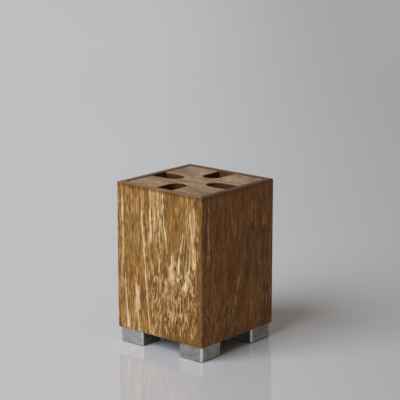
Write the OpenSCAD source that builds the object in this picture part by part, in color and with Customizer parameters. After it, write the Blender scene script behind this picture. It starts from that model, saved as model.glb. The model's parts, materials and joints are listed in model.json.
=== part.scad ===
// Toothbrush holder: a mitred wooden box on four square steel feet, with a notched top panel
// that drops in between the side boards and lifts out for rinsing.
// Origin: centre of the footprint, on the surface that the feet stand on. +Z up, -Y is the front.

/* [Box] */
// Outside width and depth of the square box
body_w = 70; // [60:1:90]
// Height of the side boards
body_h = 95; // [70:1:140]
// Thickness of the side boards
wall_t = 4; // [3:0.5:6]
// Rounding of the outer edges of the box
edge_r = 1; // [0.4:0.1:2]
// Easing of the inner top edge of the side boards
rim_ease = 0.4; // [0.2:0.1:0.8]

/* [Top panel] */
// Thickness of the top panel
panel_t = 6; // [4:0.5:10]
// How far the panel lies below the top edge of the side boards
panel_drop = 0.4; // [0.2:0.1:2]
// Gap between the panel and the side boards, all round
panel_gap = 0.3; // [0.1:0.05:0.8]
// Rounding of the panel's corners
panel_corner_r = 1; // [0.5:0.1:3]
// Width of each slot
slot_w = 13; // [10:0.5:18]
// Distance from the middle of the panel to the round inner end of each slot
slot_start = 11; // [9.5:0.5:13]
// Bevel on the upper edges of the slots
slot_ease = 0.5; // [0.2:0.1:1]
// Bevel on the outer upper edge of the panel
panel_ease = 0.3; // [0.1:0.1:0.6]

/* [Base] */
// Thickness of the base board
base_t = 6; // [4:0.5:12]

/* [Corner posts] */
// Width of the square glue post in each inner corner
post_w = 8; // [5:0.5:12]
// Bevel on the post's free inner edge
post_bevel = 2.5; // [1:0.5:4]

/* [Feet] */
// Width of each square foot
foot_w = 19; // [14:0.5:24]
// Height of the box above the surface that it stands on
foot_h = 9.5; // [7:0.5:16]
// Distance from the faces of the box to the faces of the foot
foot_inset = 1.1; // [0.5:0.1:4]
// Rounding of the upright edges of the foot
foot_r = 1.2; // [0.5:0.1:3]
// Bevel on the upper and lower edges of the foot
foot_bevel = 0.3; // [0.1:0.1:1]

/* [Foot pads] */
// Thickness of the rubber pad under each foot
pad_t = 1.2; // [0.9:0.1:2]
// How far the pad stands out below the steel
pad_proud = 0.4; // [0.2:0.1:0.8]
// Width of the steel that is left around the pad
pad_margin = 1.5; // [1:0.1:3]
// Gap between the pad and its pocket
pad_fit = 0.1; // [0.05:0.05:0.3]
// Rounding of the pad's corners
pad_r = 1.5; // [0.5:0.1:3]

/* [Screws] */
// Thread diameter of the wood screw in each foot
screw_d = 3; // [2.5:0.1:4]
// Head diameter of the wood screw
screw_head_d = 6; // [5:0.1:7.5]
// Height of the straight rim of the head
screw_head_rim = 0.3; // [0.2:0.1:0.6]
// Distance from one thread crest to the next
screw_pitch = 1.2; // [0.8:0.1:1.6]
// Gap between the screw and the steel or wood round it
screw_fit = 0.1; // [0.05:0.05:0.2]
// Thickness of wood left above the tip of the screw
tip_cover = 0.8; // [0.5:0.1:1.5]
// Width of the cross recess in the screw head
drive_w = 0.8; // [0.5:0.1:1]
// Depth of the cross recess in the screw head
drive_depth = 1.2; // [0.8:0.1:1.4]

/* [Hidden] */
$fn = 48;

// How far cutters reach past the faces that they cut
overrun = 1;
quarter_turn = 90;

// Sides and corners in their order round the box, each a quarter turn on from the one before
SIDES = ["front", "right", "back", "left"];
CORNERS = ["front_left", "front_right", "back_right", "back_left"];

half_w = body_w / 2;
inner_half = half_w - wall_t;
box_top = foot_h + body_h;
base_top = foot_h + base_t;
bore_top = base_top - tip_cover + screw_fit;
panel_top = box_top - panel_drop;
panel_bottom = panel_top - panel_t;
panel_half = inner_half - panel_gap;
slot_r = slot_w / 2;

foot_centre = half_w - foot_inset - foot_w / 2;
pocket_depth = pad_t - pad_proud;
pocket_half = foot_w / 2 - pad_margin;
pad_half = pocket_half - pad_fit;

screw_r = screw_d / 2;
screw_head_r = screw_head_d / 2;
screw_cone_h = screw_head_r - screw_r;
// Core of the thread, as a share of the thread's radius
screw_core_share = 0.68;
screw_core_r = screw_r * screw_core_share;
// Length of the pointed tip, as a share of the core's radius
screw_tip_share = 2;
screw_tip_h = screw_core_r * screw_tip_share;
// The screw's head lies just clear of the pad that covers it
screw_bottom = pad_t + screw_fit;
screw_len = foot_h + base_t - tip_cover - screw_bottom;
// Reach of the cross recess, as a share of the head's radius
drive_share = 0.6;
drive_half = screw_head_r * drive_share;

side_colour = [0.60, 0.42, 0.22];
inner_colour = [0.55, 0.40, 0.25];
panel_colour = [0.62, 0.47, 0.34];
steel_colour = [0.68, 0.69, 0.68];
rubber_colour = [0.12, 0.12, 0.12];

// A square centred on the origin, with round corners
module rounded_square(half, r) {
    square([2 * half, 2 * (half - r)], center = true);
    square([2 * (half - r), 2 * half], center = true);
    for (x = [-1, 1], y = [-1, 1])
        translate([x * (half - r), y * (half - r)]) circle(r);
}

// What rounding takes off a corner that lies at the origin, inside the first quadrant
module corner_waste(r) {
    difference() {
        translate([-overrun, -overrun]) square(r + overrun);
        translate([r, r]) circle(r);
    }
}

// Moves its children from the first place in a list, such as the front side, to the named one
module at_place(name, places) {
    rotate([0, 0, quarter_turn * search([name], places)[0]]) children();
}

// Upright section of a side board: X from the outer face inwards, Y up from its lower edge
module wall_section() {
    difference() {
        square([wall_t, body_h]);
        corner_waste(edge_r);
        translate([0, body_h]) mirror([0, 1]) corner_waste(edge_r);
        translate([wall_t, body_h]) rotate(2 * quarter_turn) corner_waste(rim_ease);
    }
}

// Side board: its ends are mitred at 45 degrees, so each corner of the box shows one fine line
module wall(side) {
    color(side_colour) at_place(side, SIDES) translate([0, 0, foot_h]) difference() {
        intersection() {
            translate([-half_w - overrun, -half_w, 0]) rotate([quarter_turn, 0, quarter_turn])
                linear_extrude(body_w + 2 * overrun) wall_section();
            linear_extrude(body_h) polygon([
                [-half_w, -half_w], [half_w, -half_w],
                [inner_half, -inner_half], [-inner_half, -inner_half]
            ]);
        }
        for (end = [0, 1])
            mirror([end, 0]) translate([-half_w, -half_w, -overrun])
                linear_extrude(body_h + 2 * overrun) corner_waste(edge_r);
    }
}

// Glue post: backs up a mitred corner from the base up to the panel, which rests on its end
module corner_post(corner) {
    color(inner_colour) at_place(corner, CORNERS) translate([-inner_half, -inner_half, base_top])
        linear_extrude(panel_bottom - base_top) polygon([
            [0, 0], [post_w, 0], [post_w, post_w - post_bevel],
            [post_w - post_bevel, post_w], [0, post_w]
        ]);
}

// Base board: glued in between the side boards, level with their lower edges
module base_board() {
    color(inner_colour) difference() {
        translate([-inner_half, -inner_half, foot_h])
            cube([2 * inner_half, 2 * inner_half, base_t]);
        for (corner = CORNERS)
            at_place(corner, CORNERS) translate([-foot_centre, -foot_centre, foot_h - overrun])
                cylinder(h = bore_top - foot_h + overrun, r = screw_r + screw_fit);
    }
}

// One slot, on the -Y side: straight from the panel's edge to a round inner end
module slot_cut(depth) {
    translate([0, -slot_start - slot_r, 0]) cylinder(h = depth, r = slot_r);
    translate([-slot_r, -half_w, 0]) cube([slot_w, half_w - slot_start - slot_r, depth]);
}

// Bevel along the slot's upper edges, below the height zero, which is the panel's face
module slot_bevel() {
    wide_r = slot_r + slot_ease + overrun;
    depth = slot_ease + overrun;
    translate([0, -slot_start - slot_r, -slot_ease]) cylinder(h = depth, r1 = slot_r, r2 = wide_r);
    translate([0, -slot_start - slot_r, -slot_ease]) rotate([quarter_turn, 0, 0])
        linear_extrude(half_w - slot_start - slot_r)
            polygon([[-slot_r, 0], [slot_r, 0], [wide_r, depth], [-wide_r, depth]]);
}

// Outline of the panel's section, with its outer upper edge bevelled
module panel_section() {
    polygon([
        [-panel_half, 0], [panel_half, 0], [panel_half, panel_t - panel_ease],
        [panel_half - panel_ease, panel_t], [panel_ease - panel_half, panel_t],
        [-panel_half, panel_t - panel_ease]
    ]);
}

// Top panel: drops in between the side boards onto the posts, with four slots open at its edge
module top_panel() {
    color(panel_colour) translate([0, 0, panel_bottom]) difference() {
        intersection() {
            linear_extrude(panel_t) rounded_square(panel_half, panel_corner_r);
            translate([0, half_w, 0]) rotate([quarter_turn, 0, 0])
                linear_extrude(body_w) panel_section();
            translate([-half_w, 0, 0]) rotate([quarter_turn, 0, quarter_turn])
                linear_extrude(body_w) panel_section();
        }
        for (side = SIDES) at_place(side, SIDES) {
            translate([0, 0, -overrun]) slot_cut(panel_t + 2 * overrun);
            translate([0, 0, panel_t]) slot_bevel();
        }
    }
}

// Upright section of a foot, with its upper and lower edges bevelled
module foot_section() {
    half = foot_w / 2;
    polygon([
        [-half, pad_proud + foot_bevel], [foot_bevel - half, pad_proud],
        [half - foot_bevel, pad_proud], [half, pad_proud + foot_bevel],
        [half, foot_h - foot_bevel], [half - foot_bevel, foot_h],
        [foot_bevel - half, foot_h], [-half, foot_h - foot_bevel]
    ]);
}

// Foot: a square steel block, countersunk from below for its screw, with a pocket for its pad
module foot(corner) {
    color(steel_colour) at_place(corner, CORNERS)
    translate([-foot_centre, -foot_centre, 0]) difference() {
        intersection() {
            linear_extrude(foot_h) rounded_square(foot_w / 2, foot_r);
            translate([0, foot_w / 2, 0]) rotate([quarter_turn, 0, 0])
                linear_extrude(foot_w) foot_section();
            translate([-foot_w / 2, 0, 0]) rotate([quarter_turn, 0, quarter_turn])
                linear_extrude(foot_w) foot_section();
        }
        translate([0, 0, pad_proud - overrun])
            linear_extrude(pocket_depth + overrun) rounded_square(pocket_half, pad_r);
        cylinder(h = foot_h + overrun, r = screw_r + screw_fit);
        translate([0, 0, screw_bottom + screw_head_rim])
            cylinder(h = screw_cone_h, r1 = screw_head_r + screw_fit, r2 = screw_r + screw_fit);
        translate([0, 0, pad_proud])
            cylinder(h = screw_bottom + screw_head_rim - pad_proud, r = screw_head_r + screw_fit);
    }
}

// Half section of the screw: radius along X, height above the head's flat face along Y
function screw_profile() =
    let (
        cone_top = screw_head_rim + screw_cone_h,
        turns = floor((screw_len - screw_tip_h - cone_top) / screw_pitch),
        thread_start = screw_len - screw_tip_h - turns * screw_pitch
    ) concat(
        [[0, 0], [screw_head_r, 0], [screw_head_r, screw_head_rim], [screw_r, cone_top]],
        [for (turn = [0 : turns - 1], half = [0, 1]) [
            half == 0 ? screw_r : screw_core_r,
            thread_start + (turn + (half + 1) / 2) * screw_pitch
        ]],
        [[0, screw_len]]
    );

// Countersunk wood screw, driven up through the foot into the base board
module foot_screw(corner) {
    color(steel_colour) at_place(corner, CORNERS)
    translate([-foot_centre, -foot_centre, screw_bottom]) difference() {
        rotate_extrude() polygon(screw_profile());
        for (arm = [0, 1]) rotate([0, 0, quarter_turn * arm])
            translate([-drive_half, -drive_w / 2, -overrun])
                cube([2 * drive_half, drive_w, drive_depth + overrun]);
    }
}

// Rubber pad: stuck into the pocket under the foot, over the screw head
module foot_pad(corner) {
    color(rubber_colour) at_place(corner, CORNERS) translate([-foot_centre, -foot_centre, 0])
        linear_extrude(pad_t) rounded_square(pad_half, pad_r - pad_fit);
}

wall("front");  // wall_front
wall("right");  // wall_right
wall("back");  // wall_back
wall("left");  // wall_left
corner_post("front_left");  // corner_post_front_left
corner_post("front_right");  // corner_post_front_right
corner_post("back_right");  // corner_post_back_right
corner_post("back_left");  // corner_post_back_left
base_board();
top_panel();
foot("front_left");  // foot_front_left
foot("front_right");  // foot_front_right
foot("back_right");  // foot_back_right
foot("back_left");  // foot_back_left
foot_screw("front_left");  // foot_screw_front_left
foot_screw("front_right");  // foot_screw_front_right
foot_screw("back_right");  // foot_screw_back_right
foot_screw("back_left");  // foot_screw_back_left
foot_pad("front_left");  // foot_pad_front_left
foot_pad("front_right");  // foot_pad_front_right
foot_pad("back_right");  // foot_pad_back_right
foot_pad("back_left");  // foot_pad_back_left
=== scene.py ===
import json
import math

import bmesh
import bpy
from mathutils import Matrix, Vector

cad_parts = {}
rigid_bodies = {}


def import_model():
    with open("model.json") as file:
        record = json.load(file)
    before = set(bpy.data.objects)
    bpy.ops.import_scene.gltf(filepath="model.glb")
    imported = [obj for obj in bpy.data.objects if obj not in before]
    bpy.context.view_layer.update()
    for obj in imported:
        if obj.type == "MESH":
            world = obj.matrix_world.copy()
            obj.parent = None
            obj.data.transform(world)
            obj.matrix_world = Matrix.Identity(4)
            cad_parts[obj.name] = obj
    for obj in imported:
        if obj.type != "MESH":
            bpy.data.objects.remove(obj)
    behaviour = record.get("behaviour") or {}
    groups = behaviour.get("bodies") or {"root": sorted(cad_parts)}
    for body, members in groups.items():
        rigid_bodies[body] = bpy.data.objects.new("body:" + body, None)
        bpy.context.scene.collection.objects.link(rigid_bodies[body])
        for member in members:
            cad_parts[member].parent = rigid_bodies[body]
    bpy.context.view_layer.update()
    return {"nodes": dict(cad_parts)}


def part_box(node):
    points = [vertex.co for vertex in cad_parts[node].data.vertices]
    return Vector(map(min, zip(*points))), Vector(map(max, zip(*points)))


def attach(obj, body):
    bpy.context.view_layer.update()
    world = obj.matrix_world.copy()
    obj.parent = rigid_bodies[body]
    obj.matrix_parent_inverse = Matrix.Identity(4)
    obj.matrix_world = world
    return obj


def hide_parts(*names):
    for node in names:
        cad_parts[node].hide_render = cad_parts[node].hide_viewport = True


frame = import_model()


# The view: a long lens looks a little down on one upright corner of the box, so that the
# bright front shows on the left and the shaded right side on the right.
VIEW_AZIMUTH = math.radians(40.43)
VIEW_ELEVATION = math.radians(13.46)
VIEW_DISTANCE = 0.9695
VIEW_AIM = Vector((0.0, 0.0044, 0.0907))
LENS_MM = 138.2
SENSOR_MM = 36.0


def direction(azimuth, elevation):
    """The way from the holder out to an azimuth, which is 0 in front of it, and an elevation."""
    level = math.cos(elevation)
    return Vector((math.sin(azimuth) * level, -math.cos(azimuth) * level, math.sin(elevation)))


def looking_in(azimuth, elevation):
    """The turn of a camera or lamp that faces the holder from out there."""
    return (math.pi / 2 - elevation, 0.0, azimuth)


camera_lens = bpy.data.cameras.new("camera")
camera_lens.lens = LENS_MM
camera_lens.sensor_width = SENSOR_MM
camera = bpy.data.objects.new("camera", camera_lens)
camera.location = VIEW_AIM + direction(VIEW_AZIMUTH, VIEW_ELEVATION) * VIEW_DISTANCE
camera.rotation_euler = looking_in(VIEW_AZIMUTH, VIEW_ELEVATION)
bpy.context.scene.collection.objects.link(camera)
bpy.context.scene.camera = camera
bpy.context.scene.view_settings.view_transform = "Standard"


# The table top: a wide sheet of pale grey, glossy laminate, which mirrors the feet softly
# and carries the box's shadow. It runs on past what the camera sees.
TABLE_RADIUS = 60.0
# The table lies a hair below the pads, so that no two faces share a place
TABLE_DROP = 0.00003
TABLE_TONE = (0.26, 0.27, 0.28, 1.0)
# The camera sees a paler table, with painted light on the left that fades into painted shade on the right
# between two distances
TABLE_PAINTED_LIGHT_LEFT = (0.643, 0.682, 0.752, 1.0)
TABLE_PAINTED_SHADE_RIGHT = (0.420, 0.450, 0.488, 1.0)
TABLE_TONES_FROM, TABLE_TONES_TO = -0.09, 0.26
TABLE_ROUGHNESS = 0.07
TABLE_SPECULAR = 0.45
# Finishes are measured in millimetres, and noise lies around this middle
MM_IN_METRE = 1000
NOISE_MIDDLE = 0.5
view_right = direction(VIEW_AZIMUTH + math.pi / 2, 0.0)


class Finish:
    """Mixes a finish in one node tree: each call adds nodes and gives back what they put out."""

    def __init__(self, tree):
        self.tree = tree

    def wire(self, made, inputs):
        """Links the inputs of a node, or sets them."""
        for name, value in inputs.items():
            if isinstance(value, bpy.types.NodeSocket):
                self.tree.links.new(value, made.inputs[name])
            else:
                made.inputs[name].default_value = value

    def put(self, kind, settings, inputs, output=0):
        """Adds a node of a kind, with its settings and inputs."""
        made = self.tree.nodes.new(kind)
        for name, value in settings.items():
            setattr(made, name, value)
        self.wire(made, inputs)
        return made.outputs[output]

    def effect(self, group, inputs):
        """Adds an effect that several finishes share, and gives back its outlets by name."""
        made = self.tree.nodes.new("ShaderNodeGroup")
        made.node_tree = group
        self.wire(made, inputs)
        return made.outputs

    def math(self, operation, *values):
        return self.put("ShaderNodeMath", {"operation": operation}, dict(enumerate(values)))

    def vector(self, operation, *values, output=0):
        inputs = dict(enumerate(values))
        if operation == "SCALE":
            inputs = {0: values[0], 3: values[1]}
        return self.put("ShaderNodeVectorMath", {"operation": operation}, inputs, output)

    def along(self, place, axis):
        """How far a place lies along one axis."""
        return self.put("ShaderNodeSeparateXYZ", {}, {"Vector": place}, axis)

    def step(self, value, low, high, to_low=0.0, to_high=1.0):
        """A smooth change from one value to another, as the input goes from low to high."""
        if low > high:
            low, high, to_low, to_high = high, low, to_high, to_low
        return self.put("ShaderNodeMapRange", {"interpolation_type": "SMOOTHSTEP"}, {
            "Value": value, "From Min": low, "From Max": high, "To Min": to_low, "To Max": to_high})

    def noise(self, place, size, detail=2.0, roughness=0.5, output=0):
        """Cloudy noise, with features of a size along X, Y and Z."""
        return self.put("ShaderNodeTexNoise", {}, {
            "Vector": self.vector("DIVIDE", place, size), "Scale": 1.0,
            "Detail": detail, "Roughness": roughness}, output)

    def strayed(self, start, place, size, reach, detail=2.0):
        """A start moved aside, by up to half the reach, in waves of a size over the place."""
        wave = self.noise(place, size, detail, output=1)
        wave = self.vector("SUBTRACT", wave, [NOISE_MIDDLE] * 3)
        return self.vector("ADD", start, self.vector("SCALE", wave, reach))

    def blend(self, share, first, second):
        """A colour between two colours, by a share from 0 to 1."""
        return self.put("ShaderNodeMix", {"data_type": "RGBA"}, {0: share, 6: first, 7: second}, 2)

    def place_mm(self, turn=(0, 0, 0), shift=(0, 0, 0)):
        """The place on the piece in millimetres, turned and then shifted."""
        place = self.put("ShaderNodeTexCoord", {}, {}, "Object")
        return self.put("ShaderNodeMapping", {}, {
            "Vector": place, "Scale": [MM_IN_METRE] * 3, "Rotation": turn, "Location": shift})

    def bump(self, height, depth, shader):
        """Raises the surface by a height from 0 to 1, to a depth in metres."""
        normal = self.put("ShaderNodeBump", {}, {"Height": height, "Distance": depth, "Strength": 1.0})
        self.wire(shader, {"Normal": normal})


def start_material(name, base_colour, roughness, metallic=0.0):
    """Starts a material with one Principled shader, and the mixer for its finish."""
    material = bpy.data.materials.new(name)
    material.use_nodes = True
    finish = Finish(material.node_tree)
    shader = material.node_tree.nodes["Principled BSDF"]
    finish.wire(shader, {"Base Color": base_colour, "Roughness": roughness, "Metallic": metallic})
    return material, shader, finish


def along_way(finish, coordinates, way, low, high):
    """A share that goes smoothly from 0 to 1 along a direction, between two distances."""
    place = finish.put("ShaderNodeTexCoord", {}, {}, coordinates)
    return finish.step(finish.vector("DOT_PRODUCT", place, way, output=1), low, high)


def seen_by_camera(finish):
    """1 for rays that the camera sees, also in gloss and through glass, and 0 for other light."""
    seen = finish.put("ShaderNodeLightPath", {}, {}, "Is Camera Ray")
    for kind in ("Is Glossy Ray", "Is Transmission Ray"):
        seen = finish.math("MAXIMUM", seen, finish.put("ShaderNodeLightPath", {}, {}, kind))
    return seen


bpy.ops.object.select_all(action="DESELECT")
bpy.ops.mesh.primitive_circle_add(vertices=64, radius=TABLE_RADIUS, fill_type="NGON",
                                  location=(0, 0, -TABLE_DROP))
table_top = bpy.context.object
table_top.name = "table_top"
laminate, laminate_shader, finish = start_material("laminate", TABLE_TONE, TABLE_ROUGHNESS)
finish.wire(laminate_shader, {"Specular IOR Level": TABLE_SPECULAR})
# Painted light on the left of the table and painted shade on its right
to_the_right = along_way(finish, "Object", view_right, TABLE_TONES_FROM, TABLE_TONES_TO)
painted_table_light = finish.blend(to_the_right, TABLE_PAINTED_LIGHT_LEFT, TABLE_PAINTED_SHADE_RIGHT)
table_colour = finish.blend(seen_by_camera(finish), TABLE_TONE, painted_table_light)
finish.wire(laminate_shader, {"Base Color": table_colour})
table_top.data.materials.append(laminate)


# Studio light: one large soft window light from the front left at about 38 degrees, a white
# card to the right of the camera, and a dim warm room whose backdrop is palest on the left.
WINDOW_AZIMUTH = math.radians(-12)
WINDOW_ELEVATION = math.radians(38)
WINDOW_SPREAD = math.radians(50)
WINDOW_STRENGTH = 3.15
WINDOW_TONE = (0.97, 0.99, 1.0)
CARD_AZIMUTH = math.radians(50)
CARD_ELEVATION = math.radians(10)
CARD_SPREAD = math.radians(24)
CARD_STRENGTH = 0.6
ROOM_STRENGTH = 0.21
ROOM_TONE = (1.0, 0.74, 0.50, 1.0)
BACKDROP_LEFT = (0.60, 0.60, 0.60, 1.0)
BACKDROP_RIGHT = (0.32, 0.32, 0.315, 1.0)
WINDOW_GLOW = (2.0, 2.0, 2.0, 1.0)
# Between these cosines the backdrop turns from left to right, and the window's glow sets in
BACKDROP_FROM, BACKDROP_TO = -0.45, 0.45
GLOW_FROM, GLOW_TO = 0.70, 0.99


def add_sun(name, azimuth, elevation, spread, strength):
    """Adds a far lamp that shines on the holder, as wide in the sky as its spread."""
    light = bpy.data.lights.new(name, "SUN")
    light.energy = strength
    light.angle = spread
    lamp = bpy.data.objects.new(name, light)
    lamp.rotation_euler = looking_in(azimuth, elevation)
    bpy.context.scene.collection.objects.link(lamp)
    return lamp


window = add_sun("window", WINDOW_AZIMUTH, WINDOW_ELEVATION, WINDOW_SPREAD, WINDOW_STRENGTH)
window.data.color = WINDOW_TONE
window.visible_glossy = False
# The card draws light lines along the feet's corners. It lights only the holder's own pieces,
# so that the table doesn't mirror it
card = add_sun("card_gleam", CARD_AZIMUTH, CARD_ELEVATION, CARD_SPREAD, CARD_STRENGTH)
card.visible_diffuse = False
holder_pieces = bpy.data.collections.new("holder_pieces")
card.light_linking.receiver_collection = holder_pieces

room = bpy.data.worlds.new("room")
bpy.context.scene.world = room
room.use_nodes = True
finish = Finish(room.node_tree)
room_light = room.node_tree.nodes["Background"]
finish.wire(room_light, {"Color": ROOM_TONE, "Strength": ROOM_STRENGTH})
to_the_right = along_way(finish, "Generated", view_right, BACKDROP_FROM, BACKDROP_TO)
backdrop = finish.blend(to_the_right, BACKDROP_LEFT, BACKDROP_RIGHT)
towards_window = direction(WINDOW_AZIMUTH, WINDOW_ELEVATION)
glow = along_way(finish, "Generated", towards_window, GLOW_FROM, GLOW_TO)
seen_room = finish.put("ShaderNodeBackground", {}, {"Color": finish.blend(glow, backdrop, WINDOW_GLOW)})
whole_room = finish.put("ShaderNodeMixShader", {}, {
    0: seen_by_camera(finish), 1: room_light.outputs[0], 2: seen_room})
finish.wire(room.node_tree.nodes["World Output"], {"Surface": whole_room})


# Side boards: four boards of open-grained golden brown wood, grain upright, sawn to a mitre
# at both ends and glued into a square tube, whose outer edges are then rounded over.
EDGE_ROUND = 0.001
RIM_EASE = 0.0004
MITRE_GAP = 0.00002
# The outer face is cut into fine rows and columns, so that its open grain can be carved
SKIN_ROWS, SKIN_COLUMNS = 158, 160
SKIN_MARGIN = 0.0012
PORE_WIDTH, PORE_LENGTH, PORE_DEPTH = 0.0006, 0.007, 0.00006
WEAR_WIDTH, WEAR_LENGTH, WEAR_DEPTH = 0.006, 0.024, 0.00006
SHARP_ANGLE = math.radians(32)
# Places this close count as one, and doubles are merged when they are much closer still
SAME_PLACE = 0.00002
MERGED = 0.000001
# A face is level when its normal's height passes this
LEVEL = 0.999
QUARTER_TURN = math.pi / 2
sides = ["front", "right", "back", "left"]

board_low, board_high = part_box("wall_front")
box_half = -board_low.y
board_t = board_high.y - board_low.y
inner_half = box_half - board_t
board_middle = (board_low.y + board_high.y) / 2
box_bottom, box_top = board_low.z, board_high.z


def select_only(piece):
    """Selects one piece and nothing else, and makes it the active one."""
    bpy.ops.object.select_all(action="DESELECT")
    piece.select_set(True)
    bpy.context.view_layer.objects.active = piece


def take_up(name):
    """Names the primitive just added as a new piece, with its object at the origin."""
    bpy.ops.object.transform_apply(location=True, rotation=True, scale=True)
    piece = bpy.context.object
    piece.name = piece.data.name = name
    return piece


def start_block(name, low, high):
    """Starts a piece as a block between two corners."""
    bpy.ops.object.select_all(action="DESELECT")
    bpy.ops.mesh.primitive_cube_add(size=1, location=(low + high) / 2, scale=high - low)
    return take_up(name)


def edit(piece):
    """Opens a piece for editing, with nothing in it selected."""
    select_only(piece)
    bpy.ops.object.mode_set(mode="EDIT")
    bpy.ops.mesh.select_all(action="DESELECT")


def pick_faces(piece, is_wanted):
    """Selects the faces of an opened piece whose centre and normal pass the test."""
    bpy.ops.mesh.select_mode(type="FACE")
    bpy.ops.mesh.select_all(action="DESELECT")
    mesh = bmesh.from_edit_mesh(piece.data)
    for face in mesh.faces:
        if is_wanted(face.calc_center_median(), face.normal):
            face.select_set(True)
    bmesh.update_edit_mesh(piece.data)


def pick_edges(piece, is_wanted):
    """Selects the edges of an opened piece whose two ends pass the test."""
    bpy.ops.mesh.select_mode(type="EDGE")
    bpy.ops.mesh.select_all(action="DESELECT")
    mesh = bmesh.from_edit_mesh(piece.data)
    for edge in mesh.edges:
        if is_wanted(edge.verts[0].co, edge.verts[1].co):
            edge.select_set(True)
    bmesh.update_edit_mesh(piece.data)


def finish_edit():
    """Closes the opened piece, with its doubles merged and its faces pointing outwards."""
    bpy.ops.mesh.select_all(action="SELECT")
    bpy.ops.mesh.remove_doubles(threshold=MERGED)
    bpy.ops.mesh.normals_make_consistent(inside=False)
    bpy.ops.object.mode_set(mode="OBJECT")


def near(a, b):
    return abs(a - b) < SAME_PLACE


# All four boards start as one block, hollowed into a tube, of which two cuts leave the front
board = start_block("side_board", Vector((-box_half, -box_half, box_bottom)),
                    Vector((box_half, box_half, box_top)))
edit(board)
bpy.ops.mesh.select_all(action="SELECT")
bpy.ops.mesh.bevel(offset=EDGE_ROUND, segments=6, affect="EDGES")
pick_faces(board, lambda centre, normal: abs(normal.z) > LEVEL)
bpy.ops.mesh.inset(thickness=board_t - EDGE_ROUND)
bpy.ops.mesh.delete(type="FACE")
bpy.ops.mesh.select_mode(type="EDGE")
bpy.ops.mesh.select_non_manifold()
bpy.ops.mesh.bridge_edge_loops()
pick_edges(board, lambda a, b: near(a.z, box_top) and near(b.z, box_top)
           and max(abs(a.x), abs(a.y)) < inner_half + SAME_PLACE
           and max(abs(b.x), abs(b.y)) < inner_half + SAME_PLACE)
bpy.ops.mesh.bevel(offset=RIM_EASE, segments=2, affect="EDGES")
for side in (-1, 1):
    bpy.ops.mesh.select_all(action="SELECT")
    bpy.ops.mesh.bisect(plane_co=(0, -MITRE_GAP * math.sqrt(2), 0), plane_no=(side, 1, 0),
                        use_fill=True, clear_outer=True)
pick_edges(board, lambda a, b: near(a.x, b.x) and near(a.y, b.y) and a.y < board_middle
           and abs(a.z - b.z) > board_t)
bpy.ops.mesh.subdivide(number_cuts=SKIN_ROWS)
pick_edges(board, lambda a, b: near(a.z, b.z) and near(a.y, b.y) and a.y < board_middle
           and abs(a.x - b.x) > inner_half)
bpy.ops.mesh.subdivide(number_cuts=SKIN_COLUMNS)
finish_edit()

# The outer face moves freely where the grain is carved, and stays put along the board's edges
carved = board.vertex_groups.new(name="carved")
for vertex in board.data.vertices:
    x, y, z = vertex.co
    inset = min(-abs(x) - y, z - box_bottom, box_top - z) - EDGE_ROUND / 2
    if y < board_middle and inset > 0:
        carved.add([vertex.index], min(1.0, inset / SKIN_MARGIN), "REPLACE")


def carve(piece, name, depth, feature_size, offset=(0, 0, 0)):
    """Sinks a cloudy texture up to a depth into the carved part of a piece.

    The feature size gives how wide the texture's features are along X, Y and Z.
    """
    texture = bpy.data.textures.new(name, "CLOUDS")
    texture.noise_scale = 1.0
    place = bpy.data.objects.new(name, None)
    place.scale = feature_size
    place.location = offset
    bpy.context.scene.collection.objects.link(place)
    bpy.context.view_layer.update()
    select_only(piece)
    modifier = piece.modifiers.new(name, "DISPLACE")
    modifier.texture = texture
    modifier.texture_coords = "OBJECT"
    modifier.texture_coords_object = place
    modifier.vertex_group = "carved"
    modifier.mid_level = 1.0
    modifier.strength = depth
    bpy.ops.object.modifier_apply(modifier=name)
    bpy.data.objects.remove(place)
    bpy.data.textures.remove(texture)


def copy_piece(piece, name, quarters):
    """Copies a finished piece with a mesh of its own, turned about Z by so many quarter turns."""
    copy = piece.copy()
    copy.data = piece.data.copy()
    copy.name = copy.data.name = name
    copy.data.transform(Matrix.Rotation(quarters * QUARTER_TURN, 4, "Z"))
    bpy.context.scene.collection.objects.link(copy)
    return copy


def smooth_piece(piece):
    """Shades a piece smooth, apart from its sharp edges."""
    select_only(piece)
    bpy.ops.object.shade_smooth_by_angle(angle=SHARP_ANGLE)
    weighted = piece.modifiers.new("weighted", "WEIGHTED_NORMAL")
    weighted.keep_sharp = True
    bpy.ops.object.modifier_apply(modifier="weighted")


side_boards = {}
for number, side in enumerate(sides):
    piece = copy_piece(board, "side_board_" + side, number)
    carve(piece, "pores", PORE_DEPTH, (PORE_WIDTH, PORE_WIDTH, PORE_LENGTH))
    carve(piece, "sanding", WEAR_DEPTH, (WEAR_WIDTH, WEAR_WIDTH, WEAR_LENGTH))
    smooth_piece(piece)
    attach(piece, "box")
    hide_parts("wall_" + side)
    side_boards[side] = piece
bpy.data.objects.remove(board)


def start_effect(name, inputs, outputs):
    """Starts an effect that several finishes share: its mixer, its inputs and its outlets."""
    tree = bpy.data.node_groups.new(name, "ShaderNodeTree")
    for label, kind, value in inputs:
        socket = tree.interface.new_socket(label, in_out="INPUT", socket_type="NodeSocket" + kind)
        if value is not None:
            socket.default_value = value
    for label, kind in outputs:
        tree.interface.new_socket(label, in_out="OUTPUT", socket_type="NodeSocket" + kind)
    entry = tree.nodes.new("NodeGroupInput")
    outlet = tree.nodes.new("NodeGroupOutput")
    return Finish(tree), entry.outputs, outlet


# Wood grain: fibres that wander, bands of tone, open pores, and the lines that hold wax, long
# where the grain runs true and short where it turns wild. In millimetres, Z along the grain
SLOW_BEND, QUICK_BEND = (22, 22, 60), (7.5, 7.5, 9)
BOARD_WANDER, QUICK_REACH, QUICK_REACH_WILD = 5.0, 1.1, 1.2
FIBRE_SIZE, BAND_SIZE, DRIFT_SIZE = (0.58, 0.58, 4.8), (2.4, 2.4, 24), (12, 12, 42)
LINE_SIZE, NET_SIZE, PORE_SIZE = (1.15, 1.15, 17), (2.6, 2.6, 12.0), (0.32, 0.32, 3.6)
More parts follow.
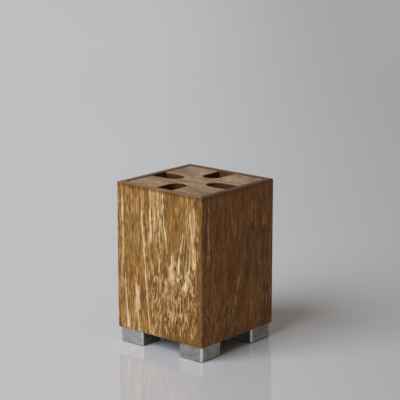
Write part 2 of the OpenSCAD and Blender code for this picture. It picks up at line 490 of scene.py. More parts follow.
# Spans give where a change sets in and is complete, and then the values it goes between,
# which are 0 and 1 unless given
SHORT_LINE_SPAN, SHORT_LINE_FIBRE = (0.11, 0.0, 0.16, 0.37), 0.5
PORE_SPAN = (0.57, 0.70)
grain, grain_in, grain_outlet = start_effect(
    "wood_grain",
    [("Place", "Vector", None), ("Wander", "Float", BOARD_WANDER), ("Wildness", "Float", 0.0)],
    [("Fibre", "Float"), ("Band", "Float"), ("Line", "Float"), ("Pore", "Float"),
     ("Drift", "Float"), ("Flow", "Vector")])
place = grain_in["Place"]
quick_reach = grain.math("MULTIPLY_ADD", grain_in["Wildness"], QUICK_REACH_WILD, QUICK_REACH)
flow = grain.strayed(place, place, SLOW_BEND, grain_in["Wander"])
flow = grain.strayed(flow, place, QUICK_BEND, quick_reach, detail=1.0)
fibre = grain.noise(flow, FIBRE_SIZE, detail=4.0, roughness=0.6)
long_line = grain.noise(flow, LINE_SIZE, detail=3.0, roughness=0.6)
net = grain.math("SUBTRACT", grain.noise(flow, NET_SIZE, detail=1.5), NOISE_MIDDLE)
short_line = grain.step(grain.math("ABSOLUTE", net), *SHORT_LINE_SPAN)
short_line = grain.math("MULTIPLY_ADD", fibre, SHORT_LINE_FIBRE, short_line)
grain.wire(grain_outlet, {
    "Fibre": fibre,
    "Band": grain.noise(flow, BAND_SIZE, detail=3.0, roughness=0.6),
    "Line": grain.put("ShaderNodeMix", {"data_type": "FLOAT"}, {
        0: grain_in["Wildness"], 2: long_line, 3: short_line}),
    "Pore": grain.step(grain.noise(flow, PORE_SIZE, detail=1.0), *PORE_SPAN),
    "Drift": grain.noise(place, DRIFT_SIZE),
    "Flow": flow,
})
wood_grain = grain.tree

# One pale streak between two points on a board's face, laid over those before it. It fades
# out over this span of its width
STREAK_SPAN = (1.2, 0.0)
streak, streak_in, streak_outlet = start_effect(
    "pale_streak",
    [("Place", "Vector", None), ("Start", "Vector", None), ("End", "Vector", None),
     ("Width", "Float", 1.0), ("Strength", "Float", 1.0), ("Before", "Float", 0.0)],
    [("Mask", "Float")])
run = streak.vector("SUBTRACT", streak_in["End"], streak_in["Start"])
reach = streak.vector("SUBTRACT", streak_in["Place"], streak_in["Start"])
share = streak.put("ShaderNodeMath", {"operation": "DIVIDE", "use_clamp": True}, {
    0: streak.vector("DOT_PRODUCT", reach, run, output=1),
    1: streak.vector("DOT_PRODUCT", run, run, output=1)})
aside = streak.vector("SUBTRACT", reach, streak.vector("SCALE", run, share))
distance = streak.math("DIVIDE", streak.vector("LENGTH", aside, output=1), streak_in["Width"])
mark = streak.math("MULTIPLY", streak.step(distance, *STREAK_SPAN), streak_in["Strength"])
streak.wire(streak_outlet, {"Mask": streak.math("MAXIMUM", mark, streak_in["Before"])})
pale_streak = streak.tree

# Colours of the side boards: oiled wood, and the pale wax that fills its open grain
WOOD_DARK = (0.095, 0.036, 0.006, 1.0)
WOOD_BROWN = (0.200, 0.097, 0.025, 1.0)
WOOD_GOLD = (0.350, 0.190, 0.050, 1.0)
WOOD_ORANGE = (0.345, 0.166, 0.038, 1.0)
WAX_TAN = ((0.535, 0.320, 0.130, 1.0), (0.475, 0.320, 0.152, 1.0))
WAX_WHITE = ((0.840, 0.605, 0.370, 1.0), (0.745, 0.610, 0.400, 1.0))
# The end grain's colour on each board: painted light on the front, painted shade on the right and back
END_GRAIN_AND_PAINTED_LIGHT = {"front": (0.305, 0.186, 0.094), "right": (0.094, 0.052, 0.030),
             "back": (0.130, 0.086, 0.058), "left": (0.190, 0.140, 0.096)}
# Oiled wood inside the box, painted darker as the shade in there
INSIDE_WOOD_AND_SHADE = (0.060, 0.028, 0.012, 1.0)
WOOD_SPECULAR = 0.22
# Each board's tint over these colours, which on the right board is painted warm light in its shade, and
# where its grain lies in the tree, in mm
BOARD_TINT_AND_WARM_SHADE = {"front": (1, 1, 1), "right": (1.12, 0.97, 0.96),
              "back": (0.97, 0.98, 1), "left": (1.02, 1, 0.97)}
BOARD_SHIFT = {"front": (0, 0, 0), "right": (310, 40, 150),
               "back": (620, 90, 330), "left": (930, 20, 520)}

# Streaks on each board's face: width, strength, then points as (across, height) in mm
STREAKS = {
    "front": [
        (0.75, 0.8, (-14.6, 104), (-13.7, 82), (-11.7, 58)),
        (0.65, 1.0, (-11.7, 58), (-9.3, 28), (-7.3, 12)),
        (0.9, 0.8, (-30.5, 95), (-29.8, 71), (-30.3, 52)),
        (1.1, 0.7, (-28.4, 46), (-27.6, 30), (-26, 12)),
        (2.4, 0.9, (-18.2, 40), (-17.6, 26)),
        (1.1, 0.7, (-18, 25), (-16.6, 11)),
        (1.2, 0.7, (-7.2, 103), (-6.4, 71)),
        (0.9, 0.8, (-0.2, 104), (-1, 71)),
        (0.8, 1.0, (3.6, 102), (4.2, 82), (5.8, 74)),
        (1.7, 0.6, (6, 76), (7.4, 66)),
        (0.9, 1.0, (20, 80), (16.8, 64), (15.7, 49)),
        (2.2, 0.6, (28.6, 96), (29, 60)),
        (0.8, 0.8, (25.4, 92), (27.4, 70)),
        (2.4, 0.45, (13, 61), (9.5, 46)),
        (2.2, 0.9, (23.6, 56), (21.8, 46)),
        (0.9, 0.7, (1.2, 60), (-0.6, 45)),
        (0.8, 0.6, (-22.5, 101), (-22, 82)),
        (1.6, 0.45, (-3.6, 104), (-3.4, 78)),
        (0.7, 0.7, (10.4, 64), (9.8, 50)),
        (0.6, 0.6, (32.2, 22), (31.4, 11)),
    ],
    "right": [
        (1.1, 0.8, (-28.7, 96), (-28.4, 60)),
        (0.9, 0.8, (-21.9, 47), (-21.6, 40)),
        (0.8, 0.7, (0.3, 48), (-1.2, 38), (-3.2, 26)),
        (0.8, 0.5, (14, 92), (13, 70)),
        (1.4, 0.45, (-6.5, 93), (-5.4, 77)),
        (0.8, 0.5, (-21.8, 30), (-21.4, 22)),
        (0.9, 0.5, (20, 58), (21.5, 51)),
    ],
    "back": [
        (1.0, 0.9, (12, 101), (14, 66), (18, 30)),
        (1.8, 0.6, (-20, 88), (-18, 58)),
        (0.9, 0.9, (-6, 60), (-4, 22)),
    ],
    "left": [
        (1.2, 0.8, (-24, 98), (-22, 62), (-25, 34)),
        (0.9, 0.9, (6, 90), (4, 52)),
        (2.0, 0.5, (20, 50), (23, 24)),
    ],
}
# Fields with more or less wax: amount, then across from, to, height from, to in mm
WAX_FIELDS = {
    "front": [
        (0.055, -9, 2, 66, 106), (0.055, 23, 32, 52, 102), (0.05, 6, 25, 42, 62),
        (-0.08, 7, 20, 66, 110), (-0.12, 31, 40, 0, 110), (-0.03, -29, -15, 45, 100),
        (0.03, -6, 28, 14, 46), (-0.09, 8, 40, 0, 22), (0.05, -29, -20, 8, 34)],
    "right": [(-0.08, -40, 40, 0, 110)],
    "back": [(0.06, -26, -8, 40, 100), (-0.08, 14, 40, 40, 110), (0.05, -10, 20, 0, 40)],
    "left": [(0.06, -30, -12, 20, 90), (-0.08, -8, 10, 50, 110), (0.05, 8, 30, 10, 60)],
}
# Fields where the wood is made lighter or darker, as above
TONE_FIELDS = {
    "front": [
        (0.12, -29, -14, 36, 100), (0.05, 5, 20, 62, 106), (-0.09, 27, 40, 0, 110),
        (-0.13, 2, 40, 0, 28), (0.10, -30, -18, 6, 36)],
    "right": [(0.07, -40, -24, 30, 110), (-0.05, 22, 40, 0, 50)],
    "back": [(0.06, -24, -6, 10, 60), (-0.07, 10, 30, 50, 110)],
    "left": [(-0.07, -12, 6, 0, 70), (0.07, 14, 32, 40, 110)],
}
# Where the grain turns wild: across from, to, height from, to in mm
WILD = {"front": (-9, 33, 2, 58), "right": (-40, 0, 0, 40),
        "back": (-30, 4, 30, 80), "left": (0, 40, 0, 44)}
# How far each kind of field fades over its border, which strays by up to half its reach, in mm
WILD_FADE, TONE_FADE, WAX_FADE = 5, 4, 3
BORDER_SIZE, BORDER_REACH = (5, 5, 9), 16.0
WOBBLE_SIZE, WOBBLE_REACH = (2.6, 2.6, 6), 1.5
# How long and wide the areas of one hue, of one fray and of one thickness of wax are, in mm
WOOD_HUE_SIZE, WAX_HUE_SIZE = (6, 6, 40), (4.5, 4.5, 22)
FRAY_SIZE, BLOTCH_SIZE, BLOTCH_AMOUNT = (0.6, 0.6, 6), (3.2, 3.2, 4.5), 0.25
# How far outside the inner face its colour sets in, and where it is complete, in mm
INSIDE_FROM, INSIDE_TO = 0.35, 0.05
# The same under the upper end: first a darker band, and then the end grain, whose colour holds painted
# light and shade
TOP_BAND_FROM, TOP_BAND_TO, TOP_BAND_SHARE = 3.4, 0.9, 0.6
END_FROM, END_TO = 0.5, 0.1
# What the tone is made of, and where colours change over it, over the fibres and the lines
BAND_PART, DRIFT_PART = 0.6, 0.4
WOOD_HUE_SPAN, WOOD_TONE_SPAN = (0.40, 0.60), (0.41, 0.56)
DARK_FIBRE_SPAN, DARK_LINE_SPAN, DARK_PORE = (0.50, 0.34, 0.0, 0.8), (0.48, 0.36, 0.0, 0.6), 0.55
# How the streaks fray, how far the fibres split the lines of wax, and where its colours change
FRAY_SPAN, SPLIT_AMOUNT = (0.36, 0.60, 0.16, 0.42), 0.55
WAX_HUE_SPAN, TAN_WAX_SPAN, WHITE_WAX_SPAN = (0.42, 0.58), (0.51, 0.62, 0.0, 0.9), (0.62, 0.92)
INSIDE_SHARE, END_SHARE, END_FIBRE_SPAN = 0.9, 0.9, (0.62, 0.40, 1.0, 0.55)
# What the fibres add to the wood's roughness and its roughness without them, and the wax's part
WOOD_ROUGHNESS, WAX_ROUGHNESS, WAX_ROUGHNESS_SPAN = (0.22, 0.38), 0.12, (0.5, 0.9)
BOARD_RELIEF, FIBRE_HEIGHT, PORE_SINK = 0.00012, 0.8, 0.35


def patch(finish, place, left, right, low, high, fade):
    """A mask that is 1 inside an area of a board's face, and fades over its border."""
    across, up = finish.along(place, "X"), finish.along(place, "Z")
    mask = finish.math("MULTIPLY", finish.step(across, left - fade, left + fade),
                       finish.step(across, right + fade, right - fade))
    mask = finish.math("MULTIPLY", mask, finish.step(up, low - fade, low + fade))
    return finish.math("MULTIPLY", mask, finish.step(up, high + fade, high - fade))


for number, side in enumerate(sides):
    oiled_wood, wood_shader, finish = start_material("oiled_wood_" + side, WOOD_BROWN, roughness=0.5)
    finish.wire(wood_shader, {"Specular IOR Level": WOOD_SPECULAR})
    face_place = finish.place_mm(turn=(0, 0, -number * QUARTER_TURN))
    flat_place = finish.vector("MULTIPLY", face_place, (1, 0, 1))
    ragged_place = finish.strayed(flat_place, face_place, BORDER_SIZE, BORDER_REACH)
    fibres = finish.effect(wood_grain, {
        "Place": finish.vector("ADD", face_place, BOARD_SHIFT[side]),
        "Wildness": patch(finish, ragged_place, *WILD[side], WILD_FADE)})

    # Oiled wood under the wax: brown and gold in bands, dark along the fibres and pores
    tone = finish.math("MULTIPLY", fibres["Band"], BAND_PART)
    tone = finish.math("MULTIPLY_ADD", fibres["Drift"], DRIFT_PART, tone)
    for amount, *area in TONE_FIELDS[side]:
        tone = finish.math("MULTIPLY_ADD", patch(finish, ragged_place, *area, TONE_FADE), amount, tone)
    hue = finish.step(finish.noise(fibres["Flow"], WOOD_HUE_SIZE, detail=1.0), *WOOD_HUE_SPAN)
    bright = finish.blend(hue, WOOD_ORANGE, WOOD_GOLD)
    colour = finish.blend(finish.step(tone, *WOOD_TONE_SPAN), WOOD_BROWN, bright)
    colour = finish.blend(finish.step(fibres["Fibre"], *DARK_FIBRE_SPAN), colour, WOOD_DARK)
    colour = finish.blend(finish.step(fibres["Line"], *DARK_LINE_SPAN), colour, WOOD_DARK)
    colour = finish.blend(finish.math("MULTIPLY", fibres["Pore"], DARK_PORE), colour, WOOD_DARK)

    # Wax: along the grain's lines, more of it in some fields, and thick in the long streaks
    wobbly_place = finish.strayed(flat_place, face_place, WOBBLE_SIZE, WOBBLE_REACH)
    wobbly_place = finish.vector("MULTIPLY", wobbly_place, (1, 0, 1))
    long_streaks = 0.0
    for width, strength, *points in STREAKS[side]:
        for (x_a, z_a), (x_b, z_b) in zip(points, points[1:]):
            long_streaks = finish.effect(pale_streak, {
                "Place": wobbly_place, "Start": (x_a, 0, z_a), "End": (x_b, 0, z_b),
                "Width": width, "Strength": strength, "Before": long_streaks})["Mask"]
    frayed = finish.step(finish.noise(fibres["Flow"], FRAY_SIZE, detail=3.0), *FRAY_SPAN)
    split = finish.math(
        "MULTIPLY_ADD", fibres["Fibre"], SPLIT_AMOUNT, -SPLIT_AMOUNT * NOISE_MIDDLE)
    wax = finish.math("MULTIPLY_ADD", long_streaks, frayed, finish.math("ADD", fibres["Line"], split))
    for amount, *area in WAX_FIELDS[side]:
        wax = finish.math("MULTIPLY_ADD", patch(finish, ragged_place, *area, WAX_FADE), amount, wax)
    blotches = finish.math("SUBTRACT", finish.noise(face_place, BLOTCH_SIZE), NOISE_MIDDLE)
    wax = finish.math("MULTIPLY_ADD", blotches, BLOTCH_AMOUNT, wax)
    hue = finish.step(finish.noise(fibres["Flow"], WAX_HUE_SIZE, detail=1.0), *WAX_HUE_SPAN)
    for span, waxes in ((TAN_WAX_SPAN, WAX_TAN), (WHITE_WAX_SPAN, WAX_WHITE)):
        colour = finish.blend(finish.step(wax, *span), colour, finish.blend(hue, *waxes))

    # The inside is oiled but not waxed, and painted darker as the shade inside the box; the upper ends
    # are darker too
    inner_face, top_face = -inner_half * MM_IN_METRE, box_top * MM_IN_METRE
    depth, height = finish.along(face_place, "Y"), finish.along(face_place, "Z")
    inside = finish.step(depth, inner_face - INSIDE_FROM, inner_face - INSIDE_TO, 0.0, INSIDE_SHARE)
    colour = finish.blend(inside, colour, INSIDE_WOOD_AND_SHADE)
    darker_top_band = finish.step(height, top_face - TOP_BAND_FROM, top_face - TOP_BAND_TO, 0.0, TOP_BAND_SHARE)
    colour = finish.blend(darker_top_band, colour, WOOD_DARK)
    # The end grain on the rim, with painted light on the front board and painted shade on the right and
    # back ones
    end_grain_and_light = finish.step(height, top_face - END_FROM, top_face - END_TO, 0.0, END_SHARE)
    end_shade = finish.step(fibres["Fibre"], *END_FIBRE_SPAN)
    colour = finish.blend(end_grain_and_light, colour, finish.vector("SCALE", END_GRAIN_AND_PAINTED_LIGHT[side], end_shade))

    satin = finish.math("MULTIPLY_ADD", fibres["Fibre"], *WOOD_ROUGHNESS)
    waxy = finish.step(wax, *WAX_ROUGHNESS_SPAN)
    # The right board's tint paints warm light into its shade
    finish.wire(wood_shader, {
        "Base Color": finish.vector("MULTIPLY", colour, BOARD_TINT_AND_WARM_SHADE[side]),
        "Roughness": finish.math("MULTIPLY_ADD", waxy, WAX_ROUGHNESS, satin)})
    relief = finish.math("SUBTRACT", finish.math("MULTIPLY", fibres["Fibre"], FIBRE_HEIGHT),
                         finish.math("MULTIPLY", fibres["Pore"], PORE_SINK))
    finish.bump(relief, BOARD_RELIEF, wood_shader)
    side_boards[side].data.materials.clear()
    side_boards[side].data.materials.append(oiled_wood)


# Corner posts and base board, glued in out of sight. The posts are raw softwood with upright
# grain; the base board is painted dark as the shade under the box, and its grain runs from front to back.
POST_WOOD = ((0.260, 0.155, 0.070, 1.0), (0.130, 0.068, 0.027, 1.0))
# The base board's colours are painted shade
BASE_WOOD_PAINTED_SHADE = ((0.085, 0.043, 0.019, 1.0), (0.036, 0.016, 0.007, 1.0))
HIDDEN_SHIFT, HIDDEN_WANDER, HIDDEN_RELIEF = (70, 30, 400), 3.0, 0.00008
# Where their fibres and patches turn dark, how much of the patches shows, and their roughness
HIDDEN_FIBRE_SPAN, HIDDEN_DRIFT_SPAN, HIDDEN_PORE = (0.62, 0.38), (0.60, 0.35), 0.4
HIDDEN_SHARE, HIDDEN_ROUGHNESS = 0.5, (0.2, 0.6)
GRAIN_TURNS = {"Z": (0, 0, 0), "Y": (QUARTER_TURN, 0, 0), "X": (0, -QUARTER_TURN, 0)}
corners = ["front_left", "front_right", "back_right", "back_left"]
for name, way, (pale, dark), nodes in (
        ("post_wood", "Z", POST_WOOD, ["corner_post_" + corner for corner in corners]),
        ("base_wood_painted_shade", "Y", BASE_WOOD_PAINTED_SHADE, ["base_board"])):
    hidden_wood, hidden_shader, finish = start_material(name, pale, roughness=0.7)
    fibres = finish.effect(wood_grain, {
        "Place": finish.place_mm(turn=GRAIN_TURNS[way], shift=HIDDEN_SHIFT), "Wander": HIDDEN_WANDER})
    tone = finish.step(fibres["Drift"], *HIDDEN_DRIFT_SPAN)
    tone = finish.math("MULTIPLY_ADD", fibres["Pore"], HIDDEN_PORE, tone)
    colour = finish.blend(finish.step(fibres["Fibre"], *HIDDEN_FIBRE_SPAN), pale, dark)
    finish.wire(hidden_shader, {
        "Base Color": finish.blend(finish.math("MULTIPLY", tone, HIDDEN_SHARE), colour, dark),
        "Roughness": finish.math("MULTIPLY_ADD", fibres["Fibre"], *HIDDEN_ROUGHNESS)})
    finish.bump(fibres["Fibre"], HIDDEN_RELIEF, hidden_shader)
    for node in nodes:
        frame["nodes"][node].data.materials.clear()
        frame["nodes"][node].data.materials.append(hidden_wood)


# Top panel: one flat board of the same oiled wood with its grain from left to right, routed
# with four finger-wide slots open at its edge, eased along them, and dropped in loose.
PANEL_CORNER, PANEL_EASE = 0.001, 0.0003
SLOT_WIDTH, SLOT_START, SLOT_EASE = 0.013, 0.011, 0.0005
PANEL_ROWS, PANEL_COLUMNS = 100, 44
PANEL_BROWN = (0.215, 0.112, 0.048, 1.0)
PANEL_TAN = (0.405, 0.278, 0.168, 1.0)
PANEL_RED = (0.440, 0.248, 0.126, 1.0)
PANEL_DARK = (0.130, 0.062, 0.025, 1.0)
PANEL_WAX = (0.600, 0.490, 0.370, 1.0)
# The slot walls' colour, darkened further by painted shade
SLOT_WOOD_AND_SHADE = (0.066, 0.027, 0.010, 1.0)
PANEL_SHIFT, PANEL_WANDER, PANEL_WILDNESS = (1300, 60, 700), 6.0, 0.15
PANEL_HUE_SIZE, PANEL_HUE_SPAN, PANEL_TONE_SPAN = (8, 8, 18), (0.42, 0.58), (0.42, 0.57)
PANEL_BAND_PART, PANEL_DRIFT_PART = 0.5, 0.5
PANEL_FIBRE_SPAN, PANEL_WAX_SPAN, PANEL_PORE = (0.52, 0.33, 0.0, 0.8), (0.51, 0.68, 0.0, 0.75), 0.5
# How far under the upper face the cut sides' colour sets in, and where it is complete, in mm
CUT_FROM, CUT_TO = 0.15, 0.7
PANEL_RELIEF, PANEL_PORE_SINK = 0.0001, 0.4
SANDING_SHIFT = (0.4, 0.1, 0.2)
panel_low, panel_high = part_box("top_panel")
panel_half, panel_top = panel_high.x, panel_high.z
slot_radius, slot_middle = SLOT_WIDTH / 2, SLOT_START + SLOT_WIDTH / 2


def start_bar(name, low, high, radius, vertices):
    """Starts a piece as an upright round bar between the centres of its two ends."""
    bpy.ops.object.select_all(action="DESELECT")
    bpy.ops.mesh.primitive_cylinder_add(vertices=vertices, radius=radius, depth=high.z - low.z,
                                        location=(low + high) / 2)
    return take_up(name)


def round_over(piece, is_wanted, width, segments):
    """Rounds over the edges of an opened piece whose two ends pass the test."""
    pick_edges(piece, is_wanted)
    bpy.ops.mesh.bevel(offset=width, segments=segments, affect="EDGES")


def cut_away(piece, cutter):
    """Takes the shape of a cutter out of a piece, and deletes the cutter."""
    select_only(piece)
    modifier = piece.modifiers.new("cut", "BOOLEAN")
    modifier.object = cutter
    modifier.solver = "EXACT"
    bpy.ops.object.modifier_apply(modifier="cut")
    bpy.data.objects.remove(cutter)


def upright(a, b):
    return near(a.x, b.x) and near(a.y, b.y) and not near(a.z, b.z)


def is_along_slot(a, b):
    """Whether the middle of an edge of the panel lies on the outline of a slot."""
    x, y = abs(a.x + b.x) / 2, abs(a.y + b.y) / 2
    return (math.hypot(x, y) < panel_half and min(x, y) < slot_radius + SAME_PLACE
            and max(x, y) < panel_half - SAME_PLACE)


panel = start_block("notched_panel", panel_low, panel_high)
edit(panel)
round_over(panel, upright, PANEL_CORNER, 6)
finish_edit()
# The slots' cutter is a round bar, drawn out past the panel's front edge
bar_reach = 2 * (panel_top - panel_low.z)
slot_cutter = start_bar("slot_cutter", Vector((0, -slot_middle, panel_top - bar_reach)),
                        Vector((0, -slot_middle, panel_top + bar_reach)), slot_radius, 64)
edit(slot_cutter)
bpy.ops.mesh.select_mode(type="VERT")
cutter_mesh = bmesh.from_edit_mesh(slot_cutter.data)
for vertex in cutter_mesh.verts:
    vertex.select_set(vertex.co.y < -slot_middle - SAME_PLACE)
cutter_mesh.select_flush_mode()
bmesh.update_edit_mesh(slot_cutter.data)
bpy.ops.transform.translate(value=(0, -panel_half, 0))
finish_edit()
for number in range(len(sides)):
    cut_away(panel, copy_piece(slot_cutter, "slot_cutter", number))
bpy.data.objects.remove(slot_cutter)
# All its upper edges are eased in one go, the slots' edges more than the outer ones
edit(panel)
for share, along_slot in ((PANEL_EASE / SLOT_EASE, False), (1.0, True)):
    pick_edges(panel, lambda a, b: near(a.z, panel_top) and near(b.z, panel_top)
               and is_along_slot(a, b) == along_slot)
    bpy.ops.transform.edge_bevelweight(value=share)
finish_edit()
eased = panel.modifiers.new("eased", "BEVEL")
eased.limit_method = "WEIGHT"
eased.width = SLOT_EASE
eased.segments = 3
bpy.ops.object.modifier_apply(modifier="eased")
# The upper face is divided finely, across the grain and along it
edit(panel)
for axis, cuts in ((Vector((0, 1, 0)), PANEL_ROWS), (Vector((1, 0, 0)), PANEL_COLUMNS)):
    for cut in range(1, cuts):
        pick_faces(panel, lambda centre, normal: normal.z > LEVEL and near(centre.z, panel_top))
        bpy.ops.mesh.bisect(plane_co=axis * (2 * cut / cuts - 1) * panel_half, plane_no=axis)
finish_edit()

carved = panel.vertex_groups.new(name="carved")
for vertex in panel.data.vertices:
    x, y, z = vertex.co
    inset = panel_half - PANEL_EASE - max(abs(x), abs(y))
    for across, out in ((x, -y), (y, x), (x, y), (y, -x)):
        beyond = out - slot_middle
        slot_distance = abs(across) if beyond > 0 else math.hypot(across, beyond)
        inset = min(inset, slot_distance - slot_radius - SLOT_EASE)
    if near(z, panel_top) and inset > 0:
        carved.add([vertex.index], min(1.0, inset / SKIN_MARGIN), "REPLACE")
carve(panel, "pores", PORE_DEPTH, (PORE_LENGTH, PORE_WIDTH, PORE_WIDTH))
carve(panel, "sanding", WEAR_DEPTH, (WEAR_LENGTH, WEAR_WIDTH, WEAR_WIDTH), SANDING_SHIFT)
smooth_piece(panel)

panel_wood, panel_shader, finish = start_material("oiled_wood_panel", PANEL_BROWN, roughness=0.5)
finish.wire(panel_shader, {"Specular IOR Level": WOOD_SPECULAR})
fibres = finish.effect(wood_grain, {
    "Place": finish.place_mm(turn=GRAIN_TURNS["X"], shift=PANEL_SHIFT),
    "Wander": PANEL_WANDER, "Wildness": PANEL_WILDNESS})
tone = finish.math("MULTIPLY", fibres["Band"], PANEL_BAND_PART)
tone = finish.math("MULTIPLY_ADD", fibres["Drift"], PANEL_DRIFT_PART, tone)
hue = finish.step(finish.noise(fibres["Flow"], PANEL_HUE_SIZE, detail=1.0), *PANEL_HUE_SPAN)
bright = finish.blend(hue, PANEL_RED, PANEL_TAN)
colour = finish.blend(finish.step(tone, *PANEL_TONE_SPAN), PANEL_BROWN, bright)
colour = finish.blend(finish.step(fibres["Fibre"], *PANEL_FIBRE_SPAN), colour, PANEL_DARK)
colour = finish.blend(finish.math("MULTIPLY", fibres["Pore"], PANEL_PORE), colour, PANEL_DARK)
colour = finish.blend(finish.step(fibres["Line"], *PANEL_WAX_SPAN), colour, PANEL_WAX)
# Its cut edges and slot walls are dark from the cutter and the oil, and painted darker as the shade in
# the slots
height, top_face = finish.along(finish.place_mm(), "Z"), panel_top * MM_IN_METRE
cut_side_and_shade = finish.step(height, top_face - CUT_FROM, top_face - CUT_TO)
finish.wire(panel_shader, {
    "Base Color": finish.blend(cut_side_and_shade, colour, SLOT_WOOD_AND_SHADE),
    "Roughness": finish.math("MULTIPLY_ADD", fibres["Fibre"], *WOOD_ROUGHNESS)})
sunk_pores = finish.math("MULTIPLY", fibres["Pore"], PANEL_PORE_SINK)
finish.bump(finish.math("SUBTRACT", fibres["Fibre"], sunk_pores), PANEL_RELIEF, panel_shader)
panel.data.materials.clear()
panel.data.materials.append(panel_wood)
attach(panel, "top")
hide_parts("top_panel")


# Feet: square blocks of stainless steel, brushed from side to side, with their edges broken.
# Each is bored and countersunk from below for its screw, under a pocket for its pad.
FOOT_CORNER, FOOT_EASE = 0.0012, 0.0003
POCKET_CORNER, PAD_FIT, SCREW_FIT = 0.0015, 0.0001, 0.0001
SCREW_RADIUS, HEAD_RADIUS, HEAD_RIM = 0.0015, 0.003, 0.0003
CUT_OVERRUN = 0.001
STEEL = (0.520, 0.514, 0.484, 1.0)
STEEL_DULL = (0.235, 0.229, 0.212, 1.0)
# The two faces turned under the box are painted dark as the shade there
STEEL_PAINTED_SHADE = (0.095, 0.089, 0.080, 1.0)
UNDER_BOX_SHADE_FROM, UNDER_BOX_SHADE_TO, UNDER_BOX_SHADE_SHARE = 0.4, 0.1, 0.72
# The bevels at the box's four outer corners get a painted highlight
GLINT_FROM, GLINT_TO, GLINT_SHARE = 0.3, 0.1, 0.85
# Each foot has its own dullness, with painted light on the front left foot and painted shade that deepens
# towards the back right one
FOOT_DULLNESS_AND_SHADE = {"front_left": -0.10, "front_right": 0.30, "back_right": 0.45, "back_left": 0.20}
BRUSH_SIZE, SMEAR_SIZE, BRUSH_RELIEF = (14, 14, 0.09), (5, 5, 3), 0.00005
# Where brush lines and smears are dull and by how much, and the roughness that dullness brings
BRUSH_SPAN, BRUSH_DULLNESS = (0.35, 0.65), 0.45
SMEAR_SPAN, SMEAR_DULLNESS = (0.4, 0.7), 0.4
STEEL_ROUGHNESS = (0.16, 0.28)
# The brushing runs level, so it stretches highlights upright
BRUSH_STRETCH, BRUSH_TURN = 0.8, 0.25
foot_low, foot_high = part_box("foot_front_left")
pad_low, pad_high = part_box("foot_pad_front_left")
screw_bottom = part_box("foot_screw_front_left")[0].z
foot_middle = (foot_low + foot_high) / 2

foot = start_block("steel_foot", foot_low, foot_high)
edit(foot)
round_over(foot, upright, FOOT_CORNER, 1)
round_over(foot, upright, FOOT_EASE / 2, 2)
round_over(foot, lambda a, b: near(a.z, b.z), FOOT_EASE, 3)
finish_edit()
pad_gap = Vector((PAD_FIT, PAD_FIT, 0))
pocket = start_block("pocket", pad_low - pad_gap - Vector((0, 0, CUT_OVERRUN)), pad_high + pad_gap)
edit(pocket)
round_over(pocket, upright, POCKET_CORNER, 6)
finish_edit()
cut_away(foot, pocket)
cone_top = foot_middle.copy()
cone_top.z = screw_bottom + HEAD_RIM + HEAD_RADIUS - SCREW_RADIUS
bore_top = foot_middle.copy()
bore_top.z = foot_high.z + CUT_OVERRUN
bore_radius, head_bore_radius = SCREW_RADIUS + SCREW_FIT, HEAD_RADIUS + SCREW_FIT
bore = start_bar("bore", cone_top, bore_top, bore_radius, 48)
edit(bore)
pick_faces(bore, lambda centre, normal: normal.z < -LEVEL)
bpy.ops.mesh.extrude_region_move(TRANSFORM_OT_translate={"value": (0, 0, bore_radius - head_bore_radius)})
widen = head_bore_radius / bore_radius
bpy.ops.transform.resize(value=(widen, widen, 1), center_override=cone_top)
bpy.ops.mesh.extrude_region_move(TRANSFORM_OT_translate={"value": (0, 0, -2 * CUT_OVERRUN)})
finish_edit()
cut_away(foot, bore)
smooth_piece(foot)

foot.data.materials.clear()
inner_face = -foot_high.x * MM_IN_METRE
outer_bevel = -(foot_low.x + foot_low.y + FOOT_CORNER) * MM_IN_METRE
for number, corner in enumerate(corners):
    piece = copy_piece(foot, "steel_foot_" + corner, number)
    brushed_steel, steel_shader, finish = start_material(
        "brushed_steel_" + corner, STEEL, roughness=0.3, metallic=1.0)
    finish.wire(steel_shader, {"Anisotropic": BRUSH_STRETCH, "Anisotropic Rotation": BRUSH_TURN})
    foot_place = finish.place_mm()
    brush_lines = finish.noise(foot_place, BRUSH_SIZE, detail=3.0, roughness=0.65)
    smears = finish.noise(foot_place, SMEAR_SIZE)
    # dull holds the brushing, and each foot's painted light and shade
    dull = FOOT_DULLNESS_AND_SHADE[corner]
    for marks, span, amount in ((brush_lines, BRUSH_SPAN, BRUSH_DULLNESS),
                                (smears, SMEAR_SPAN, SMEAR_DULLNESS)):
        dull = finish.math("MULTIPLY_ADD", finish.step(marks, *span), amount, dull)
    colour = finish.blend(dull, STEEL, STEEL_DULL)
    from_x, from_y = (finish.math("ABSOLUTE", finish.along(foot_place, axis)) for axis in "XY")
    inwards = finish.math("MINIMUM", from_x, from_y)
    # Painted shade on the two faces under the box
    under_box_shade = finish.step(inwards, inner_face + UNDER_BOX_SHADE_FROM, inner_face + UNDER_BOX_SHADE_TO, 0.0, UNDER_BOX_SHADE_SHARE)
    colour = finish.blend(under_box_shade, colour, STEEL_PAINTED_SHADE)
    outwards = finish.math("ADD", from_x, from_y)
    # Painted highlight along the outer corner bevel
    painted_glint = finish.step(outwards, outer_bevel - GLINT_FROM, outer_bevel - GLINT_TO,
                         0.0, GLINT_SHARE)
    finish.wire(steel_shader, {
        "Base Color": finish.blend(painted_glint, colour, STEEL),
        "Roughness": finish.math("MULTIPLY_ADD", dull, *STEEL_ROUGHNESS)})
    finish.bump(brush_lines, BRUSH_RELIEF, steel_shader)
    piece.data.materials.append(brushed_steel)
    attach(piece, "box")
    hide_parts("foot_" + corner)
bpy.data.objects.remove(foot)


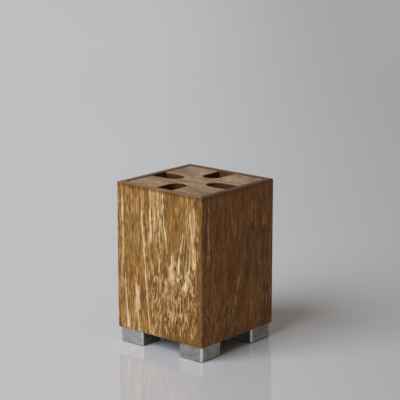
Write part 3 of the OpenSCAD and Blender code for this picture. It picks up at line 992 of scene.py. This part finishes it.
# Foot screws: the CAD model's turned and threaded wood screws, bright zinc plated with a
# faintly yellow and uneven passivated skin.
ZINC = (0.620, 0.600, 0.540, 1.0)
ZINC_YELLOW = (0.560, 0.500, 0.340, 1.0)
CLOUD_SIZE, CLOUD_SPAN, ZINC_ROUGHNESS = (1.4, 1.4, 2.2), (0.42, 0.66), (0.3, 0.2)
zinc, zinc_shader, finish = start_material("zinc_plate", ZINC, roughness=0.35, metallic=1.0)
cloudy = finish.noise(finish.place_mm(), CLOUD_SIZE, detail=3.0)
finish.wire(zinc_shader, {
    "Base Color": finish.blend(finish.step(cloudy, *CLOUD_SPAN), ZINC, ZINC_YELLOW),
    "Roughness": finish.math("MULTIPLY_ADD", cloudy, *ZINC_ROUGHNESS)})
for corner in corners:
    screw = frame["nodes"]["foot_screw_" + corner]
    screw.data.materials.clear()
    screw.data.materials.append(zinc)


# Foot pads: die-cut squares of soft black rubber, moulded with five grip grooves underneath
# and pressed into the feet's pockets over the screw heads.
PAD_CORNER, PAD_EASE = 0.0014, 0.00015
GRIP_MARGIN, GRIP_PITCH, GRIP_WIDTH, GRIP_DEPTH = 0.0013, 0.0024, 0.0009, 0.0003
# This many grooves lie on each side of the middle one
GRIPS_ASIDE = 2
RUBBER = (0.022, 0.022, 0.023, 1.0)
RUBBER_DUSTY = (0.060, 0.058, 0.055, 1.0)
DUST_SIZE, DUST_SPAN, RUBBER_ROUGHNESS = (2.5, 2.5, 1.0), (0.45, 0.75), (0.15, 0.68)
RUBBER_GRAIN, RUBBER_RELIEF = (0.12, 0.12, 0.12), 0.00004
pad = start_block("rubber_pad", pad_low, pad_high)
edit(pad)
round_over(pad, upright, PAD_CORNER, 6)
round_over(pad, lambda a, b: near(a.z, pad_low.z) and near(b.z, pad_low.z), PAD_EASE, 2)
pick_faces(pad, lambda centre, normal: normal.z < -LEVEL)
bpy.ops.mesh.inset(thickness=GRIP_MARGIN)
grip_edge = (pad_high.x - pad_low.x) / 2 - PAD_EASE - GRIP_MARGIN / 2
for groove in range(-GRIPS_ASIDE, GRIPS_ASIDE + 1):
    for side in (-1, 1):
        pick_faces(pad, lambda centre, normal: normal.z < -LEVEL
                   and max(abs(centre.x - foot_middle.x), abs(centre.y - foot_middle.y)) < grip_edge)
        bpy.ops.mesh.bisect(plane_co=(foot_middle.x + groove * GRIP_PITCH + side * GRIP_WIDTH / 2, 0, 0),
                            plane_no=(1, 0, 0))
pick_faces(pad, lambda centre, normal: normal.z < -LEVEL
           and abs(centre.y - foot_middle.y) < grip_edge / 2
           and abs(math.remainder(centre.x - foot_middle.x, GRIP_PITCH)) < GRIP_WIDTH / 4
           and abs(centre.x - foot_middle.x) < (GRIPS_ASIDE + 0.4) * GRIP_PITCH)
bpy.ops.mesh.extrude_region_move(TRANSFORM_OT_translate={"value": (0, 0, GRIP_DEPTH)})
finish_edit()
smooth_piece(pad)
rubber, rubber_shader, finish = start_material("black_rubber", RUBBER, roughness=0.75)
pad_place = finish.place_mm()
dust = finish.step(finish.noise(pad_place, DUST_SIZE, detail=3.0), *DUST_SPAN)
finish.wire(rubber_shader, {
    "Base Color": finish.blend(dust, RUBBER, RUBBER_DUSTY),
    "Roughness": finish.math("MULTIPLY_ADD", dust, *RUBBER_ROUGHNESS)})
finish.bump(finish.noise(pad_place, RUBBER_GRAIN), RUBBER_RELIEF, rubber_shader)
pad.data.materials.clear()
pad.data.materials.append(rubber)
for number, corner in enumerate(corners):
    piece = copy_piece(pad, "rubber_pad_" + corner, number)
    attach(piece, "box")
    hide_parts("foot_pad_" + corner)
bpy.data.objects.remove(pad)


# The finished holder: all its pieces, and not the table, take the light of the white card
for thing in bpy.context.scene.objects:
    if thing.type == "MESH" and thing != table_top:
        holder_pieces.objects.link(thing)
